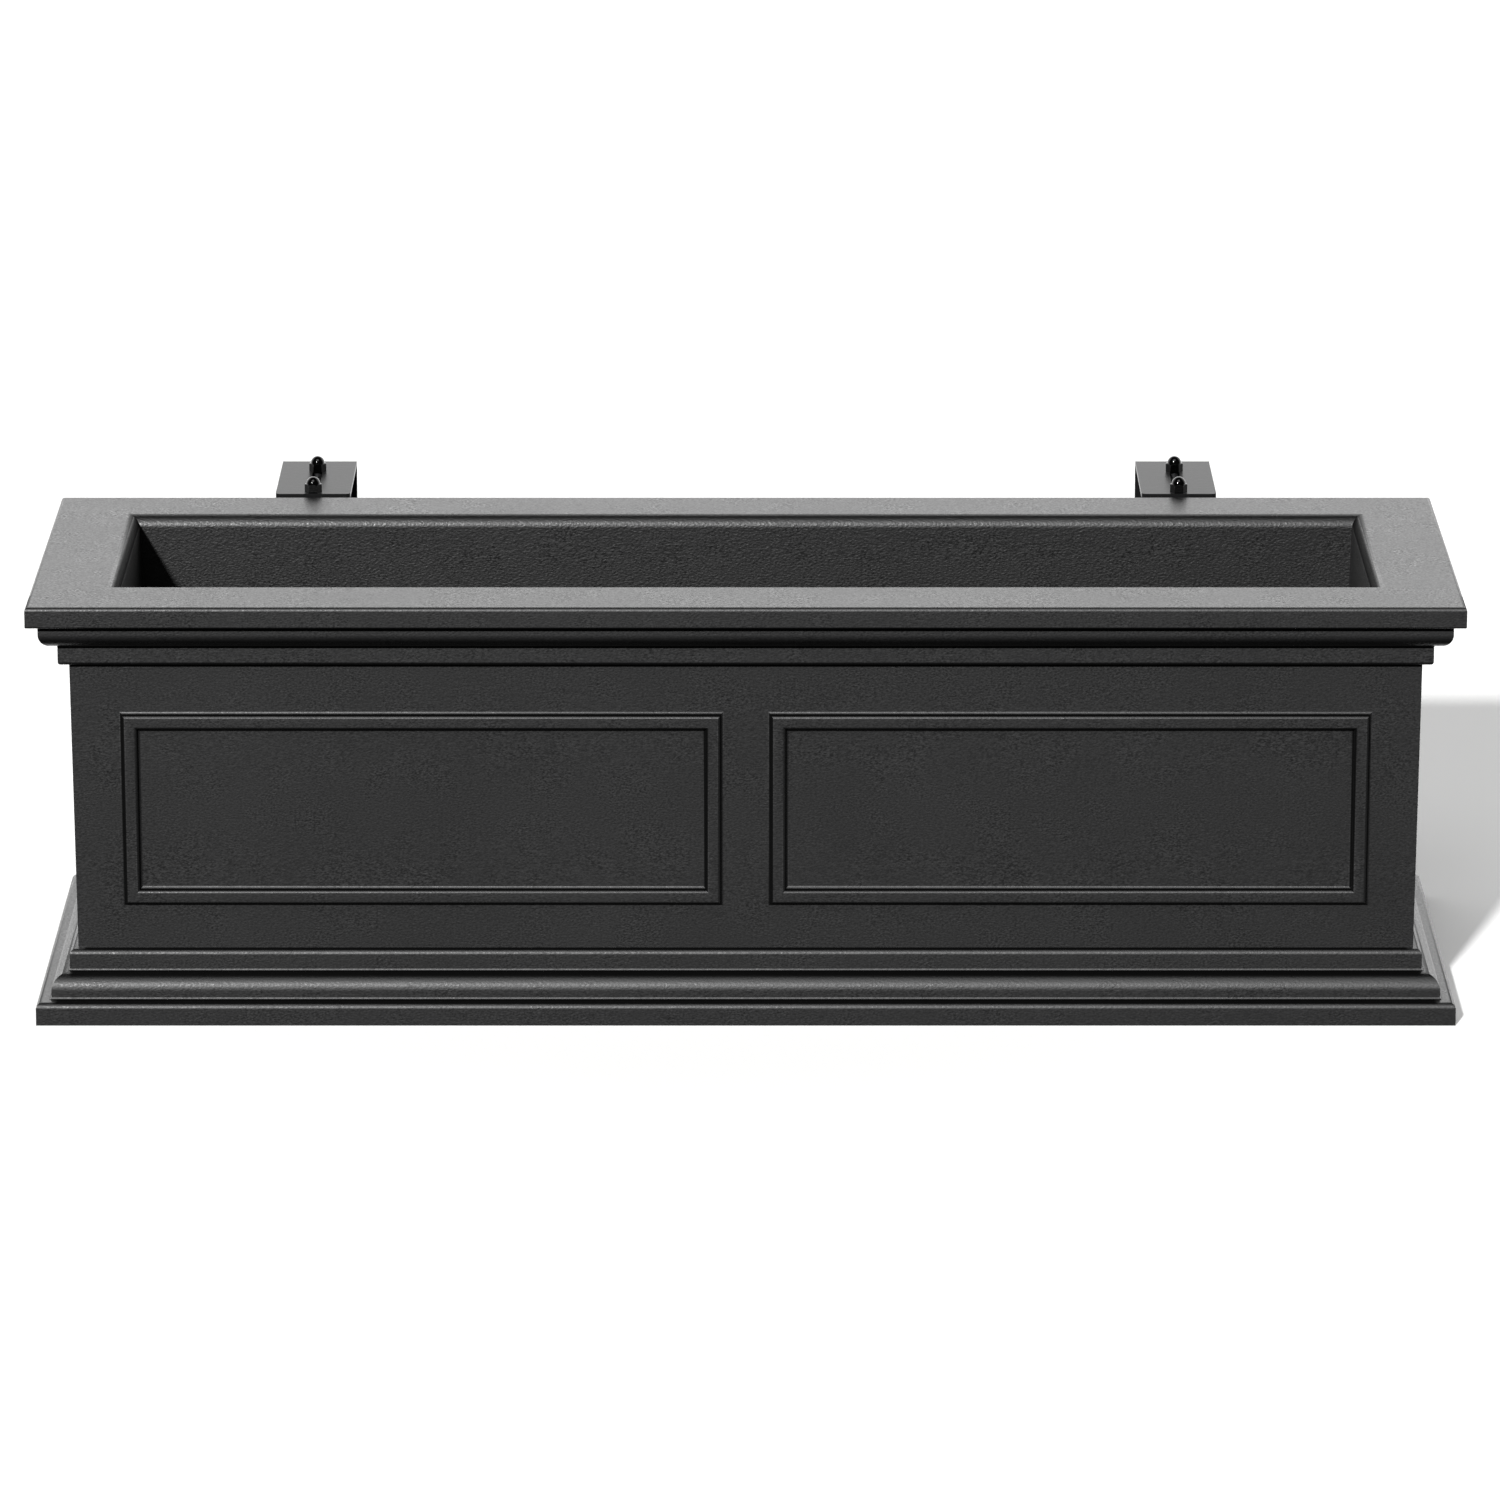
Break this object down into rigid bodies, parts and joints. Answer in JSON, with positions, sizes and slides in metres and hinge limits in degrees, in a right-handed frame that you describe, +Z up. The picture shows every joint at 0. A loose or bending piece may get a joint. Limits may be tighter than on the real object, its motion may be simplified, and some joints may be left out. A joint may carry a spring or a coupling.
{
  "type": "railing planter",
  "caption": "Long rectangular window-box planter with moulded crown, panelled front and stepped base, hung on a railing by sliding steel hooks.",
  "frame": {"origin": "middle of the planter's underside, on the ground plane, halfway between its front and its flat back", "axes": "+X along the planter's length to the right as seen from the front, +Y from the panelled front to the flat back and on to the railing, +Z up"},
  "size_m": [0.914, 0.4044, 0.2882],
  "materials": {
    "moulded_plastic": "fine moulded orange-peel grain, satin",
    "coated_steel": "satin black powder coat",
    "blackened_fastener": "black, semi-gloss",
    "gloss_black_nut": "glossy black",
    "insert_brass": "turned",
    "plug_rubber": "matte"
  },
  "bodies": {
    "planter": {"planter_shell": "moulded_plastic", "left_hanger": "coated_steel", "left_rear_clamp_bolt": "blackened_fastener", "left_rear_cap_nut": "gloss_black_nut", "left_upper_insert": "insert_brass", "left_lower_insert": "insert_brass", "left_upper_washer": "blackened_fastener", "left_lower_washer": "blackened_fastener", "left_upper_mounting_bolt": "blackened_fastener", "left_lower_mounting_bolt": "blackened_fastener", "right_hanger": "coated_steel", "right_rear_clamp_bolt": "blackened_fastener", "right_rear_cap_nut": "gloss_black_nut", "right_upper_insert": "insert_brass", "right_lower_insert": "insert_brass", "right_upper_washer": "blackened_fastener", "right_lower_washer": "blackened_fastener", "right_upper_mounting_bolt": "blackened_fastener", "right_lower_mounting_bolt": "blackened_fastener"},
    "left_sliding_hook": {"left_hook": "coated_steel", "left_front_clamp_bolt": "blackened_fastener", "left_front_cap_nut": "gloss_black_nut"},
    "right_sliding_hook": {"right_hook": "coated_steel", "right_front_clamp_bolt": "blackened_fastener", "right_front_cap_nut": "gloss_black_nut"},
    "left_outer_plug": {"left_outer_drain_plug": "plug_rubber"},
    "left_inner_plug": {"left_inner_drain_plug": "plug_rubber"},
    "right_inner_plug": {"right_inner_drain_plug": "plug_rubber"},
    "right_outer_plug": {"right_outer_drain_plug": "plug_rubber"}
  },
  "joints": [
    {"name": "left_hook_slide", "type": "slide", "parent": "planter", "child": "left_sliding_hook", "axis": [0, 1, 0], "range_m": [0, 0.049]},
    {"name": "right_hook_slide", "type": "slide", "parent": "planter", "child": "right_sliding_hook", "axis": [0, 1, 0], "range_m": [0, 0.049]},
    {"name": "left_outer_plug_pull", "type": "slide", "parent": "planter", "child": "left_outer_plug", "axis": [0, 0, -1], "range_m": [0, 0.02]},
    {"name": "left_inner_plug_pull", "type": "slide", "parent": "planter", "child": "left_inner_plug", "axis": [0, 0, -1], "range_m": [0, 0.02]},
    {"name": "right_inner_plug_pull", "type": "slide", "parent": "planter", "child": "right_inner_plug", "axis": [0, 0, -1], "range_m": [0, 0.02]},
    {"name": "right_outer_plug_pull", "type": "slide", "parent": "planter", "child": "right_outer_plug", "axis": [0, 0, -1], "range_m": [0, 0.02]}
  ]
}
